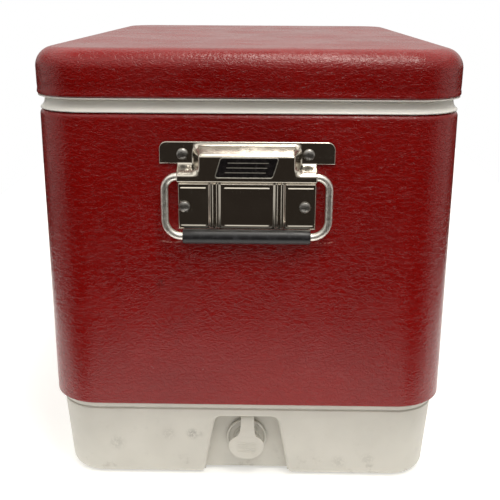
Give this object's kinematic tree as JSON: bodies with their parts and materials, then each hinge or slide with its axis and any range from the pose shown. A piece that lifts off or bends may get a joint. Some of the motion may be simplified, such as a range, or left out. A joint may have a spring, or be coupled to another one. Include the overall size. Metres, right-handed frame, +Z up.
{
  "type": "picnic cooler chest",
  "caption": "Steel-jacketed picnic cooler chest with a hinged lid, front hasp, swinging end handles and a drain plug in a recess of its plastic base.",
  "frame": {"origin": "on the floor, under the middle of the chest's overall box", "axes": "+X along the length towards the end with the drain, +Y across towards the rear hinges, +Z up"},
  "size_m": [0.591, 0.4044, 0.41],
  "materials": {
    "red_enamel": "gloss",
    "white_plastic": "satin",
    "tub_plastic": "satin",
    "foam": "matte",
    "white_rubber": "matte",
    "grey_rubber": "matte",
    "chrome": "polished",
    "steel": "satin",
    "black_vinyl": "satin"
  },
  "bodies": {
    "chest": {"body_shell": "red_enamel", "base_pan": "white_plastic", "liner": "tub_plastic", "body_insulation": "foam", "floor_insulation": "foam", "drain_end_bracket": "chrome", "drain_end_screws": "chrome", "plain_end_bracket": "chrome", "plain_end_screws": "chrome", "drain_spout": "white_plastic", "drain_washer": "grey_rubber", "drain_nut": "white_plastic", "drain_strap": "white_plastic", "hinge_body_leaves": "chrome", "hinge_pins": "steel", "hinge_body_screws": "chrome", "hasp_catch": "chrome", "hasp_catch_screws": "chrome"},
    "lid": {"lid_shell": "red_enamel", "lid_liner": "tub_plastic", "lid_insulation": "foam", "lid_gasket": "white_rubber", "hinge_lid_leaves": "chrome", "hinge_lid_screws": "chrome", "hasp_mount": "chrome", "hasp_mount_screws": "chrome", "hasp_pin": "steel"},
    "hasp": {"hasp_plate": "chrome"},
    "drain_end_handle": {"drain_end_bail": "chrome", "drain_end_grip": "black_vinyl"},
    "plain_end_handle": {"plain_end_bail": "chrome", "plain_end_grip": "black_vinyl"},
    "plug": {"drain_plug": "white_plastic"}
  },
  "joints": [
    {"name": "lid_hinge", "type": "hinge", "parent": "chest", "child": "lid", "pos_m": [0, 0.198, 0.369], "axis": [-1, 0, 0], "range_deg": [0, 100]},
    {"name": "hasp_swing", "type": "hinge", "parent": "lid", "child": "hasp", "pos_m": [0, -0.197, 0.373], "axis": [-1, 0, 0], "range_deg": [0, 100]},
    {"name": "drain_end_handle_swing", "type": "hinge", "parent": "chest", "child": "drain_end_handle", "pos_m": [0.289, 0, 0.303], "axis": [0, -1, 0], "range_deg": [0, 100]},
    {"name": "plain_end_handle_swing", "type": "hinge", "parent": "chest", "child": "plain_end_handle", "pos_m": [-0.289, 0, 0.303], "axis": [0, 1, 0], "range_deg": [0, 100]},
    {"name": "drain_plug_pull", "type": "slide", "parent": "chest", "child": "plug", "axis": [1, 0, 0], "range_m": [0, 0.014], "deforming": ["drain_strap"]}
  ]
}
